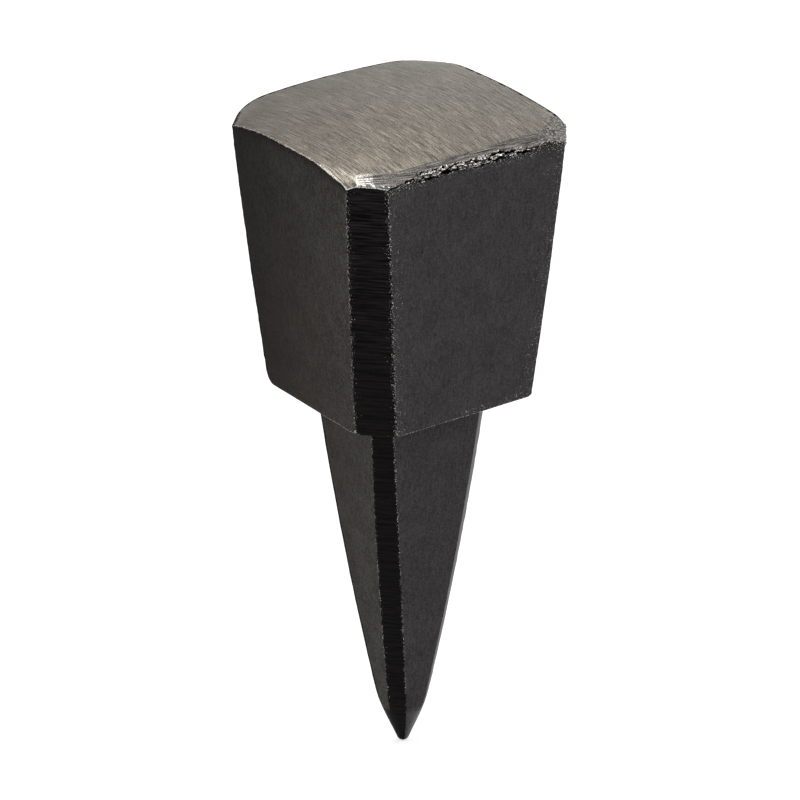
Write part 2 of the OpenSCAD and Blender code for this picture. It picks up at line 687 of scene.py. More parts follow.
@dataclass
class Forging:
    """The whole anvil as one closed mesh, drawn out ring by ring from the crown to the tip.

    Attributes:
        name: Its name.
        counts: How many columns each side has.
        arc_steps: How many steps each rounded edge has.
        crowding: How much closer together the columns are towards the edges.
        fine_insets: How many rings lie closely spaced inside the rim.
        fine_inset: How far apart those are.
        broad_insets: How far inside the rim the other rings of the face are.
        rim_drops: How far below the rim the first rings of the sides are.
        side_rows: How many rings follow down the head.
        tang_rows: How many there are down the tang.
        point_rows: How many there are down the point.
        point_rise: How far above the end of the tang's faces the rings of the point start.
        tip_h: Height of the rounded tip.
        first_ring: Radius of the first ring, at the middle of the face.
        painted_shade_spill: How far the near black of the corners is set round the far edge of the left side
            as painted shade; the same value puts it as painted shade under the left part of the lower edge
            and down the left of the point.
        creep: How far the black creeps up over the rim at the back.
        edge_wear_and_highlight: How much bare metal shows along the edges that don't take the usual amount:
            scuffs, and a painted highlight line along the edge.
        usual_wear_and_highlight: That usual amount.
        wear_w: Over what distance that fades from an edge, on the head and on the tang.
        front_wear: How much the black is scuffed off the front towards its edges, and over what distance.
        rim_wear: The same under the rim of the front.
        foot_wear: The same above the foot of the front.
        lit_underside: Share of the left side from which its lower edge carries a painted highlight, not
            painted shade.
        underside_highlight: How bright the painted highlight along the lower edges of the front and the left
            is.
        underside_flat: What the underside counts as, in terms of how far it is inside a corner flat.
        left_rim_highlight: How much bright bare metal the left rim shows as a painted highlight line at the
            back, and how much more at the front.
        corner_rim_highlight: How strong that painted highlight of bare metal is along the rim at the near
            corner.
        nick_depth: Depth of the nicks in the rim.
        corner_gloss: How glossy the right corner of the tang is.
        point_gloss: How glossy the point is.
        torn_y: How far to the back the torn edge can reach.
        refined: From where to where below the rim the mesh is refined where that edge is torn.
        margins: How much further it is refined, coarsely and finely.
        waves: Depth and size of the broad waves and of the small ones of the forged skin.
        evened: How much less deep they are away from the rim.
        edge_dents: Depth of the dents along the edges of the corner flats.
        seed: Seed of the noise that shakes the crumbs, which Blender otherwise takes from the clock.
    """

    name: str = "forging"
    counts: dict[Side, int] = field(
        default_factory=lambda: {
            Side.RIGHT: 44,
            Side.BACK_RIGHT: 14,
            Side.BACK: 40,
            Side.BACK_LEFT: 14,
            Side.LEFT: 80,
            Side.FRONT_LEFT: 24,
            Side.FRONT: 96,
            Side.FRONT_RIGHT: 16,
        }
    )
    arc_steps: int = 5
    crowding: float = 0.35
    fine_insets: int = 16
    fine_inset: float = 0.3
    broad_insets: tuple[float, ...] = (5.4, 6.4, 8, 10, 12.5, 15, 18, 20.5)
    rim_drops: tuple[float, ...] = (0.35, 0.6, 0.9, 1.2, 1.5, 1.8, 2.1, 2.4, 2.8, 3.3)
    side_rows: int = 52
    tang_rows: int = 46
    point_rows: int = 24
    point_rise: float = 3.0
    tip_h: float = 0.9
    first_ring: float = 0.1
    painted_shade_spill: float = 0.6
    creep: float = 0.55
    edge_wear_and_highlight: dict[Side, float] = field(default_factory=lambda: {Side.LEFT: 0.42, Side.FRONT_LEFT: 0.45})
    usual_wear_and_highlight: float = 0.2
    wear_w: Pair = (0.9, 0.4)
    front_wear: Pair = (0.33, 5.0)
    rim_wear: Pair = (0.45, 2.6)
    foot_wear: Pair = (0.36, 2.0)
    lit_underside: float = 0.63
    underside_highlight: dict[Side, float] = field(default_factory=lambda: {Side.FRONT: 0.62, Side.LEFT: 0.66})
    underside_flat: float = -1.5
    left_rim_highlight: Pair = (0.66, 0.2)
    corner_rim_highlight: float = 0.9
    nick_depth: float = 0.22
    corner_gloss: float = 0.22
    point_gloss: float = 0.5
    torn_y: float = -16.0
    refined: Pair = (-0.9, 1.1)
    margins: Pair = (1.4, 0.7)
    waves: tuple[Pair, Pair] = ((0.09, 9.0), (0.04, 2.2))
    evened: float = 0.075
    edge_dents: float = 0.07
    seed: int = 7

    def __post_init__(self) -> None:
        """Takes the overall sizes from the frame and seeds the noise."""
        noise.seed_set(self.seed)
        low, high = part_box("anvil")
        face = WorkingFace(top_z=high.z / MM)
        face_w = (high.x - low.x) / MM
        self.head = Head(face=face, face_w=face_w, rim_z=face.crown(face_w / 2))
        self.tang = Tang(length=-low.z / MM)
        self.tear = Tear()
        self.columns = self.lay_out()

    def lay_out(self) -> list[Column]:
        """Places the columns round the forging, closer together towards the edges."""
        columns = []
        for side, count in self.counts.items():
            for i in range(count + 1):
                even = i / count
                crowded = (1 - math.cos(math.pi * even)) / 2
                columns.append(Column(side, even + (crowded - even) * self.crowding))
            columns += [Column(side, 1.0, j / self.arc_steps) for j in range(1, self.arc_steps)]
        return columns

    def face_stations(self, rims: list[Vector]) -> list[Station]:
        """Rings from the middle of the face out to its rim."""
        rings = []
        section = self.head.section(self.head.rim_z)
        widest = self.head.face_w / 2
        fine = [self.fine_inset * (i + 1) for i in range(self.fine_insets)]
        for inset in (widest - self.first_ring, *reversed(self.broad_insets), *reversed(fine)):
            share = 1 - inset / widest
            flat = [Vector((r.x * share, r.y * share, 0)) for r in rims]
            points = [Vector((p.x, p.y, self.head.face.height(p))) for p in flat]
            rings.append(Station(points, -inset, section))
        return rings

    def rim_stations(self, rims: list[Vector]) -> list[Station]:
        """Rings round the rounded rim, from the face over to the side."""
        rings = []
        r = self.head.rim_r
        section = self.head.section(self.head.rim_z)
        for turn in (0.0, 0.25, 0.5, 0.75, 1.0):
            points = []
            for column, rim in zip(self.columns, rims):
                inner = Vector((rim.x, rim.y, 0)) * (1 - r / math.hypot(rim.x, rim.y))
                inner.z = self.head.face.height(inner)
                outer = self.head.side(column, rim.z - r)
                points.append(inner.lerp(rim, turn).lerp(rim.lerp(outer, turn), turn))
            rings.append(Station(points, (2 * turn - 1) * r, section))
        return rings

    def side_stations(self, rims: list[Vector]) -> list[Station]:
        """Rings down the sides of the head."""
        rings = []
        head = self.head
        last_drop = self.rim_drops[-1]
        lows = [head.bottom_radius(c) for c in self.columns]
        for drop in self.rim_drops:
            points = [head.side(c, r.z - drop) for c, r in zip(self.columns, rims)]
            rings.append(Station(points, drop, head.section(head.rim_z - drop)))
        for i in range(1, self.side_rows + 1):
            share = i / self.side_rows
            points = [
                head.side(c, (r.z - last_drop) * (1 - share) + low * share)
                for c, r, low in zip(self.columns, rims, lows)
            ]
            z = (head.rim_z - last_drop) * (1 - share) + head.bottom_r * share
            rings.append(Station(points, head.rim_z - z, head.section(z)))
        return rings

    def shoulder_stations(self) -> list[Station]:
        """Rings round the lower edge of the head and in under it to the tang."""
        rings = []
        below = self.head.rim_z
        base = self.head.section(0)
        lows = [self.head.bottom_radius(c) for c in self.columns]
        for i in range(1, 6):
            angle = math.radians(90) * i / 5
            points = []
            for column, r in zip(self.columns, lows):
                inward = r * (1 - math.cos(angle))
                section = Section(tuple(d - inward for d in base.reach), base.facing, base.edge_r)
                points.append(Vector((*section.point(column).xy, r * (1 - math.sin(angle)))))
            rings.append(Station(points, below, base))
        outer = rings[-1]
        inner = [self.tang.side(c, 0) for c in self.columns]
        for share in (0.03, 0.2, 0.4, 0.6, 0.8, 1.0):
            points = [a.lerp(b, share) for a, b in zip(outer.points, inner)]
            rings.append(Station(points, below, base, under=True))
        return rings

    def tang_stations(self) -> list[Station]:
        """Rings down the tang and its point, to the tip."""
        below = self.head.rim_z
        tang = self.tang
        blend_z = tang.shank_end_z + self.point_rise
        heights = [-tang.fillet_r * share for share in (0.06, 0.2, 0.4, 0.65, 1.0)]
        heights += [
            -tang.fillet_r + (blend_z + tang.fillet_r) * (i + 1) / self.tang_rows
            for i in range(self.tang_rows)
        ]
        tip_z = -tang.length
        rows = self.point_rows
        heights += [blend_z + (tip_z + self.tip_h - blend_z) * (i + 1) / rows for i in range(rows)]
        heights += [tip_z + self.tip_h * (1 - math.sin(math.radians(90) * i / 6)) for i in range(1, 6)]
        heights.append(tip_z + 0.001)
        rings = []
        for z in heights:
            section = tang.section(max(z, tang.shank_end_z))
            rings.append(Station([tang.side(c, z) for c in self.columns], below - z, section))
        return rings

    def flat_mark(self, column: Column, station: Station, z: float) -> float:
        """How far a column is inside the near black of the corners; on the left side this near black is also
        set as painted shade round the far edge, under the lower edge and down the point.
        """
        if station.under:
            return self.underside_flat
        into = station.section.into_flat(column)
        if column.side != Side.LEFT:
            return into
        underneath = -HAIR < z <= self.head.bottom_radius(column) + HAIR
        # Painted shade: the corners' near black down the left of the point and under the left part of the
        # lower edge.
        if z < self.tang.shank_end_z or (underneath and column.along < self.lit_underside):
            return self.painted_shade_spill
        # Painted shade: the near black reaches round the back left edge.
        return into + self.painted_shade_spill if column.edge == Side.BACK_LEFT else into

    def rim_mark(self, column: Column, below: float) -> float:
        """How far a column is below the rim, or below where the black creeps over it at the back."""
        creeps = column.side <= Side.BACK_LEFT
        return below + self.creep if creeps else below

    def wear_and_highlight(self, column: Column, station: Station, z: float) -> float:
        """How much bare metal shows at a column, from 0 to 1: where the black is scuffed off, and painted
        highlights along edges, rims and the lower edges.
        """
        if station.under:
            return 0.0
        away = station.section.from_edge(column)
        # Along each edge: scuffs, and a painted highlight line.
        edge = self.edge_wear_and_highlight.get(column.edge, self.usual_wear_and_highlight)
        if z < -HAIR:
            shank_end = self.tang.shank_end_z
            return edge * math.exp(-away / self.wear_w[1]) * smooth(shank_end, shank_end + 4, z)
        below = station.below_rim
        underneath = z < self.head.bottom_radius(column) * 0.8
        worn_and_lit = [edge * math.exp(-away / self.wear_w[0]) * smooth(-0.3, 0.0, below)]
        if column.side == Side.FRONT and below > 0:
            worn_and_lit.append(self.front_wear[0] * math.exp(-away / self.front_wear[1]))
            worn_and_lit.append(self.rim_wear[0] * bell(below, 0, self.rim_wear[1]))
            # Painted highlight along the lower edge of the front.
            worn_and_lit.append(self.underside_highlight[Side.FRONT] * underneath)
            at_foot = bell(z, 0, self.foot_wear[1]) * smooth(0.3, 0.5, column.along)
            worn_and_lit.append(self.foot_wear[0] * at_foot)
        if column.side == Side.LEFT:
            # Painted highlight: a bright line along the left rim.
            bright = self.left_rim_highlight[0] + self.left_rim_highlight[1] * smooth(0.4, 1.0, column.along)
            worn_and_lit.append(bright * bell(below, -0.15, 0.22))
            # Painted highlight along the right part of the lower edge of the left side.
            worn_and_lit.append(self.underside_highlight[Side.LEFT] * (underneath and column.along > self.lit_underside))
        if column.side == Side.FRONT_LEFT:
            # Painted highlight along the rim at the near corner.
            worn_and_lit.append(self.corner_rim_highlight * bell(below, -0.05, 0.2))
        return max(worn_and_lit)

    def gloss(self, column: Column, station: Station, z: float) -> float:
        """How much the lacquer shines at a column: on the right corner of the tang and on the point."""
        on_corner = column.side == Side.FRONT_RIGHT or column.edge == Side.FRONT
        if z > -HAIR or not (on_corner or column.side == Side.FRONT):
            return 0.0
        on_point = smooth(self.tang.shank_end_z + 1, self.tang.shank_end_z - 1, z)
        if on_corner:
            inside = smooth(0.1, 0.3, station.section.into_flat(column))
            return max(self.corner_gloss * inside, self.point_gloss * on_point)
        return self.point_gloss * on_point * (0.6 + 0.4 * column.along)

    def draw_out(self) -> bmesh.types.BMesh:
        """Extrudes one ring into the next, into a closed mesh in millimetres, with its marks."""
        bm = bmesh.new()
        slot = bm.verts.layers.int.new("column")
        marks = {mark: bm.verts.layers.float.new(mark.value) for mark in Mark}
        rims = [self.head.rim(c) for c in self.columns]
        stations = [
            *self.face_stations(rims),
            *self.rim_stations(rims),
            *self.side_stations(rims),
            *self.shoulder_stations(),
            *self.tang_stations(),
        ]
        ring = bmesh.ops.create_circle(bm, segments=len(self.columns), radius=1.0)["verts"]
        bm.verts.index_update()
        for i, vert in enumerate(ring):
            vert[slot] = i
        edges = list(bm.edges)
        for number, station in enumerate(stations):
            if number:
                made = bmesh.ops.extrude_edge_only(bm, edges=edges)["geom"]
                ring = [g for g in made if isinstance(g, bmesh.types.BMVert)]
                held = set(ring)
                edges = [g for g in made if isinstance(g, bmesh.types.BMEdge) and held.issuperset(g.verts)]
            for vert in ring:
                column = self.columns[vert[slot]]
                vert.co = station.points[vert[slot]]
                vert[marks[Mark.RIM]] = self.rim_mark(column, station.below_rim)
                vert[marks[Mark.FLAT]] = self.flat_mark(column, station, vert.co.z)
                vert[marks[Mark.CUT]] = self.head.face.cut(vert.co)
                vert[marks[Mark.WEAR_AND_HIGHLIGHT]] = self.wear_and_highlight(column, station, vert.co.z)
                vert[marks[Mark.GLOSS]] = self.gloss(column, station, vert.co.z)
            if number == 0:
                first = ring
        for end, z in ((first, self.head.face.top_z - 0.001), (ring, -self.tang.length)):
            bmesh.ops.pointmerge(bm, verts=end, merge_co=Vector((0, 0, z)))
        bmesh.ops.recalc_face_normals(bm, faces=bm.faces)
        bm.verts.layers.int.remove(bm.verts.layers.int["column"])
        return bm

    def is_torn(self, vert: bmesh.types.BMVert, below: float, margin: float) -> bool:
        """Whether a corner of the mesh lies where the front edge of the face is torn, or near it."""
        low, high = self.refined
        beside = self.tear.start_x - margin < vert.co.x < self.tear.end_x + margin
        return beside and vert.co.y < self.torn_y and low - margin < below < high + margin

    def refine(self, bm: bmesh.types.BMesh) -> None:
        """Subdivides the mesh where the front edge of the face is torn."""
        for margin in self.margins:
            rim = bm.verts.layers.float[Mark.RIM.value]
            chosen = [e for e in bm.edges if all(self.is_torn(v, v[rim], margin) for v in e.verts)]
            bmesh.ops.subdivide_edges(bm, edges=chosen, cuts=1, use_grid_fill=True)

    def dent(self, at: Vector, below: float) -> float:
        """How deep the skin is dented: always inwards near the rim, and about evenly further down."""
        (wave, wave_l), (small, small_l) = self.waves
        wave *= 0.5 + 0.5 * noise.noise(at / wave_l)
        small *= 0.5 + 0.5 * noise.noise(at / small_l + Vector((5, 0, 0)))
        return smooth(0.0, 0.4, below) * (wave + small - self.evened * smooth(1, 6, below))

    def relief(self, bm: bmesh.types.BMesh) -> None:
        """Presses the forged unevenness and the torn edge into the surface."""
        layers = bm.verts.layers.float
        rim, flat, torn = (layers[m.value] for m in (Mark.RIM, Mark.FLAT, Mark.TORN))
        bm.normal_update()
        moves = []
        for vert in bm.verts:
            at = vert.co
            above_tip = smooth(-self.tang.length, -self.tang.length + 2, at.z)
            depth = self.dent(at, vert[rim]) * above_tip
            edge = bell(vert[flat], 0, 0.5) * smooth(0.0, 0.4, vert[rim]) * above_tip
            along_edge = Vector((at.x * 0.5, at.y * 0.5, at.z * 1.6))
            depth += self.edge_dents * edge * (0.5 + noise.noise(along_edge))
            nick = smooth(0.5, 0.0, abs(vert[rim])) * smooth(-0.1, 0.5, noise.noise(at / 0.6))
            depth += self.nick_depth * nick
            if at.y < self.torn_y and vert[flat] < 0 and at.z > 0:
                vert[torn] = self.tear.state(at, vert[rim])
                depth += self.tear.sunk(at.x, vert[torn])
            moves.append((vert, vert.normal * depth))
        for vert, move in moves:
            vert.co -= move

    def build(self) -> bpy.types.Object:
        """Builds the piece, at the origin, in metres."""
        bm = self.draw_out()
        self.refine(bm)
        self.relief(bm)
        for face in bm.faces:
            face.smooth = True
        bmesh.ops.scale(bm, vec=(MM, MM, MM), verts=bm.verts)
        return add_mesh(self.name, bm)


def add_node(
    tree: Tree, kind: str, inputs: dict[int | str, Value] | None = None, **settings: object
) -> bpy.types.Node:
    """Adds a node, sets it and links what feeds it.

    Args:
        tree: The node tree.
        kind: The node's type.
        inputs: For each input, by name or number, its value or the socket that feeds it.
        settings: The node's own settings.

    Returns:
        The node.
    """
    node = tree.nodes.new(kind)
    for key, value in settings.items():
        setattr(node, key, value)
    for key, value in (inputs or {}).items():
        if isinstance(value, Socket):
            tree.links.new(value, node.inputs[key])
        else:
            node.inputs[key].default_value = value
    return node


def empty_tree(owner: bpy.types.Material | bpy.types.World) -> Tree:
    """Gives a material or the surroundings a node tree with nothing in it."""
    owner.use_nodes = True
    owner.node_tree.nodes.clear()
    return owner.node_tree


def close_tree(tree: Tree, shader: str, inputs: dict[str, Value], output: str) -> None:
    """Adds the shader and the output that a node tree ends with."""
    surface = add_node(tree, shader, inputs).outputs[0]
    add_node(tree, output, {"Surface": surface})


@dataclass(frozen=True)
class Layer:
    """What one finish gives the shader at each point."""

    colour: Value
    metal: Value
    roughness: Value
    height: Value


# Output of a Mix node that mixes colours, and its two colour inputs
MIX_RESULT = 2
MIX_A = 6
MIX_B = 7


def remap(
    tree: Tree,
    value: Value,
    source: Pair,
    target: tuple[Value, Value] = (0.0, 1.0),
) -> Socket:
    """Adds a node that maps the source range of a value onto the target range, clamped."""
    names = ("Value", "From Min", "From Max", "To Min", "To Max")
    return add_node(tree, "ShaderNodeMapRange", dict(zip(names, (value, *source, *target)))).outputs[0]


def mix(tree: Tree, share: Value, under: Value, over: Value) -> Socket:
    """Adds a node that lays a share of one colour over another."""
    inputs = {0: share, MIX_A: under, MIX_B: over}
    return add_node(tree, "ShaderNodeMix", inputs, data_type="RGBA").outputs[MIX_RESULT]


def grain(
    tree: Tree, place: Socket, size_mm: float, detail: float = 2.0, roughness: float = 0.5
) -> Socket:
    """Adds noise whose grains have a real size.

    Args:
        tree: The node tree.
        place: The coordinates, in metres.
        size_mm: Size of a grain.
        detail: How many finer layers it has.
        roughness: How strong those are.

    Returns:
        The noise, about 0.5 on average.
    """
    inputs = {"Vector": place, "Scale": 1 / (size_mm * MM), "Detail": detail, "Roughness": roughness}
    return add_node(tree, "ShaderNodeTexNoise", inputs).outputs[0]


def calculate(tree: Tree, operation: str, *values: Value) -> Socket:
    """Adds a node that calculates with its values."""
    return add_node(tree, "ShaderNodeMath", dict(enumerate(values)), operation=operation).outputs[0]


def ramp(tree: Tree, value: Socket, ends_mm: Pair, target: Pair = (0.0, 1.0)) -> Socket:
    """Adds a node that maps a length between two ends in millimetres onto the target range, clamped."""
    return remap(tree, value, (ends_mm[0] * MM, ends_mm[1] * MM), target)


def stretched(tree: Tree, place: Socket, scale: tuple[float, float, float]) -> Socket:
    """Adds coordinates that are scaled along each axis."""
    return add_node(tree, "ShaderNodeMapping", {"Vector": place, "Scale": scale}).outputs[0]


def split(tree: Tree, place: Socket) -> tuple[Socket, Socket, Socket]:
    """Adds a node that splits coordinates into X, Y and Z."""
    return tuple(add_node(tree, "ShaderNodeSeparateXYZ", {"Vector": place}).outputs)


def join(tree: Tree, x: Socket, y: Socket) -> Socket:
    """Adds a node that joins X and Y into coordinates."""
    return add_node(tree, "ShaderNodeCombineXYZ", {0: x, 1: y}).outputs[0]


def frontwards(tree: Tree, place: Socket) -> Socket:
    """Adds how far a point lies towards the front right corner: its X less its Y."""
    x, y, _ = split(tree, place)
    return calculate(tree, "SUBTRACT", x, y)


def measure(tree: Tree, mark: Mark) -> Socket:
    """Adds a node that reads one of the measures kept on the mesh."""
    return add_node(tree, "ShaderNodeAttribute", attribute_name=mark.value).outputs["Fac"]


@dataclass(frozen=True)
class GroundSteel:
    """Carbon steel, belt-ground: fine short scratches one way, warm grey, with duller patches.

    Attributes:
        pale: Colour of the bright scratches.
        mid: Colour of most of the face.
        dull: Colour of the patches where the steel is duller and browner, most of all on the left.
        dark: Colour of the deepest scratches.
        scratch_mm: Width of a scratch, drawn coarser than the grit so that it shows.
        scratch_l_mm: Length of a scratch.
        grit_mm: Size of the short broken marks between them.
        duller_mm: How far towards the front right it starts to get duller, and where it is dullest.
        roughness: Roughness of the ground steel.
        relief_mm: Depth of the scratches.
        back_mm: How far towards the back right it starts to get duller, and where it is dullest.
        pitted_mm: How far towards the front right it starts to be pitted, and where it is so all over.
        patch_mm: Size of the duller patches.
        pit_mm: Size of the pits.
    """

    pale: str = "#b7afa1"
    mid: str = "#787166"
    dull: str = "#4e4740"
    dark: str = "#3c3936"
    scratch_mm: float = 0.08
    scratch_l_mm: float = 5.0
    grit_mm: float = 0.16
    duller_mm: Pair = (2.0, -34.0)
    roughness: float = 0.4
    relief_mm: float = 0.014
    back_mm: Pair = (-30.0, 30.0)
    pitted_mm: Pair = (31.0, 35.0)
    patch_mm: float = 7.0
    pit_mm: float = 0.36

    def layer(self, tree: Tree, place: Socket, across: Socket) -> Layer:
        """Adds the finish at a place, where the X of the second coordinates runs across the scratches."""
        squeeze = self.scratch_mm / self.scratch_l_mm
        along = stretched(tree, across, (1.0, squeeze, squeeze))
        fine = grain(tree, along, self.scratch_mm, 2.0, 0.8)
        broad = grain(tree, along, self.scratch_mm * 2.5, 2.0)
        grit = grain(tree, place, self.grit_mm, 1.0)
        streak = calculate(tree, "MULTIPLY_ADD", broad, 0.18, fine)
        streak = calculate(tree, "MULTIPLY_ADD", grit, 0.35, streak)
        deep = remap(tree, streak, (0.76, 0.66))
        bright = remap(tree, streak, (0.77, 0.86))
        colour = mix(tree, bright, mix(tree, deep, srgb(self.mid), srgb(self.dark)), srgb(self.pale))
        patch = remap(tree, grain(tree, place, self.patch_mm, 3.0), (0.35, 0.65))
        duller = ramp(tree, frontwards(tree, place), self.duller_mm, (0.0, 0.5))
        x, y, _ = split(tree, place)
        back = ramp(tree, calculate(tree, "ADD", x, y), self.back_mm, (0.0, 0.28))
        duller = calculate(tree, "ADD", calculate(tree, "MULTIPLY_ADD", patch, 0.2, duller), back)
        colour = mix(tree, duller, colour, srgb(self.dull))
        pitted = ramp(tree, frontwards(tree, place), self.pitted_mm, (0.0, 0.9))
        pock = grain(tree, place, self.pit_mm, 2.0)
        for reach, shade in (((0.51, 0.57), self.dark), ((0.44, 0.36), self.pale)):
            share = calculate(tree, "MULTIPLY", remap(tree, pock, reach), pitted)
            colour = mix(tree, share, colour, srgb(shade))
        height = calculate(tree, "MULTIPLY", streak, self.relief_mm * MM)
        return Layer(colour, 1.0, self.roughness, height)


@dataclass(frozen=True)
class ForgedSkin:
    """Black lacquer over a forged face: satin, grained by scale, with dark pores, brown to blue.

    Attributes:
        brown: Colours of the low and the raised grain at the back left of the anvil.
        blue: The same at the front right.
        rust: Colour that shows through in patches on the brown side.
        pore_and_shade: Colour of the pores, also used for the painted shade.
        grain_mm: Size of the grain left by the scale.
        stroke_l_mm: Length of the upright strokes in it.
        tinted_mm: Over how many millimetres the tint changes.
        shaded_mm: Where painted shade starts to darken the brown side, measured towards the front right, and
            where it is darkest, at the back left.
        rim_shade_mm: Where below the rim the painted shade under the rim is darkest, and where it ends.
        rusty_mm: How far towards the back left the rust starts and is complete, and so downwards.
        rust_mm: Size of the patches of rust.
        cloud_mm: Size of the clouds in the tone.
        pore_mm: Size of the pores.
        relief_mm: Height of the grain.
    """

    brown: tuple[str, str] = ("#34302e", "#605d58")
    blue: tuple[str, str] = ("#3a3738", "#535051")
    rust: str = "#4c3d39"
    pore_and_shade: str = "#0f0e0e"
    grain_mm: float = 0.34
    stroke_l_mm: float = 1.6
    tinted_mm: float = 4.0
    shaded_mm: Pair = (0.0, -38.0)
    rim_shade_mm: Pair = (0.0, 1.8)
    rusty_mm: tuple[Pair, Pair] = ((-8.0, -24.0), (40.0, 14.0))
    rust_mm: float = 6.0
    cloud_mm: float = 5.0
    pore_mm: float = 0.8
    relief_mm: float = 0.05

    def layer(self, tree: Tree, place: Socket) -> Layer:
        """Adds the finish at a place."""
        even = grain(tree, place, self.grain_mm, 4.0, 0.7)
        drawn = stretched(tree, place, (1.0, 1.0, self.grain_mm / self.stroke_l_mm))
        strokes = grain(tree, drawn, self.grain_mm, 3.0, 0.6)
        cloud = grain(tree, place, self.cloud_mm, 3.0, 0.6)
        rough = calculate(tree, "MULTIPLY_ADD", strokes, 0.5, even)
        tone = remap(tree, calculate(tree, "MULTIPLY_ADD", cloud, 0.3, rough), (0.74, 1.06))
        front, up = frontwards(tree, place), split(tree, place)[2]
        left = mix(tree, tone, srgb(self.brown[0]), srgb(self.brown[1]))
        rusty = remap(tree, grain(tree, place, self.rust_mm, 2.0), (0.35, 0.65), (0.15, 0.6))
        for way, ends in zip((front, up), self.rusty_mm):
            rusty = calculate(tree, "MULTIPLY", rusty, ramp(tree, way, ends))
        left = mix(tree, rusty, left, srgb(self.rust))
        # Painted shade: the brown side darkens towards the back left, towards the colour of the pores.
        left = mix(tree, ramp(tree, front, self.shaded_mm, (0.0, 0.85)), left, srgb(self.pore_and_shade))
        right = mix(tree, tone, srgb(self.blue[0]), srgb(self.blue[1]))
        tint = ramp(tree, front, (-self.tinted_mm, self.tinted_mm))
        pored = remap(tree, grain(tree, place, self.pore_mm, 5.0, 0.6), (0.33, 0.27))
        colour = mix(tree, pored, mix(tree, tint, left, right), srgb(self.pore_and_shade))
        # Painted shade: the skin darkens just under the rim.
        painted_rim_shade = remap(tree, measure(tree, Mark.RIM), self.rim_shade_mm, (0.8, 0.0))
        colour = mix(tree, painted_rim_shade, colour, srgb(self.pore_and_shade))
        height = calculate(tree, "MULTIPLY", rough, self.relief_mm * MM)
        return Layer(colour, 0.0, remap(tree, even, (0.3, 0.7), (0.46, 0.6)), height)


@dataclass(frozen=True)
class TrimmedFlat:
    """Corner flats where the flash was ground off before blacking: ribbed crosswise, and near black, darker
    than the skin partly as painted shade.

    Attributes:
        dark: Colour of the grooves.
        line: Colour of the grinding lines that catch the light.
        rib_mm: Spacing of the lines.
        rib_l_mm: Length of a line.
        faded_mm: Heights between which the lines fade, from below upwards.
        relief_mm: Height of the lines.
    """

    # Near black, partly painted shade for how dark the flats look in this light.
    dark: str = "#0a0909"
    line: str = "#2e2b2b"
    rib_mm: float = 0.3
    rib_l_mm: float = 6.0
    faded_mm: Pair = (8.0, 40.0)
    relief_mm: float = 0.02

    def layer(self, tree: Tree, place: Socket) -> Layer:
        """Adds the finish at a place."""
        squeeze = self.rib_mm / self.rib_l_mm
        ribs = grain(tree, stretched(tree, place, (squeeze, squeeze, 1.0)), self.rib_mm, 3.0, 0.65)
        up = split(tree, place)[2]
        ends = ramp(tree, up, self.faded_mm, (0.14, 0.0)), ramp(tree, up, self.faded_mm, (0.48, 1.0))
        colour = mix(tree, remap(tree, ribs, (0.42, 0.62), ends), srgb(self.dark), srgb(self.line))
        height = calculate(tree, "MULTIPLY", ribs, self.relief_mm * MM)
        return Layer(colour, 0.0, 0.42, height)


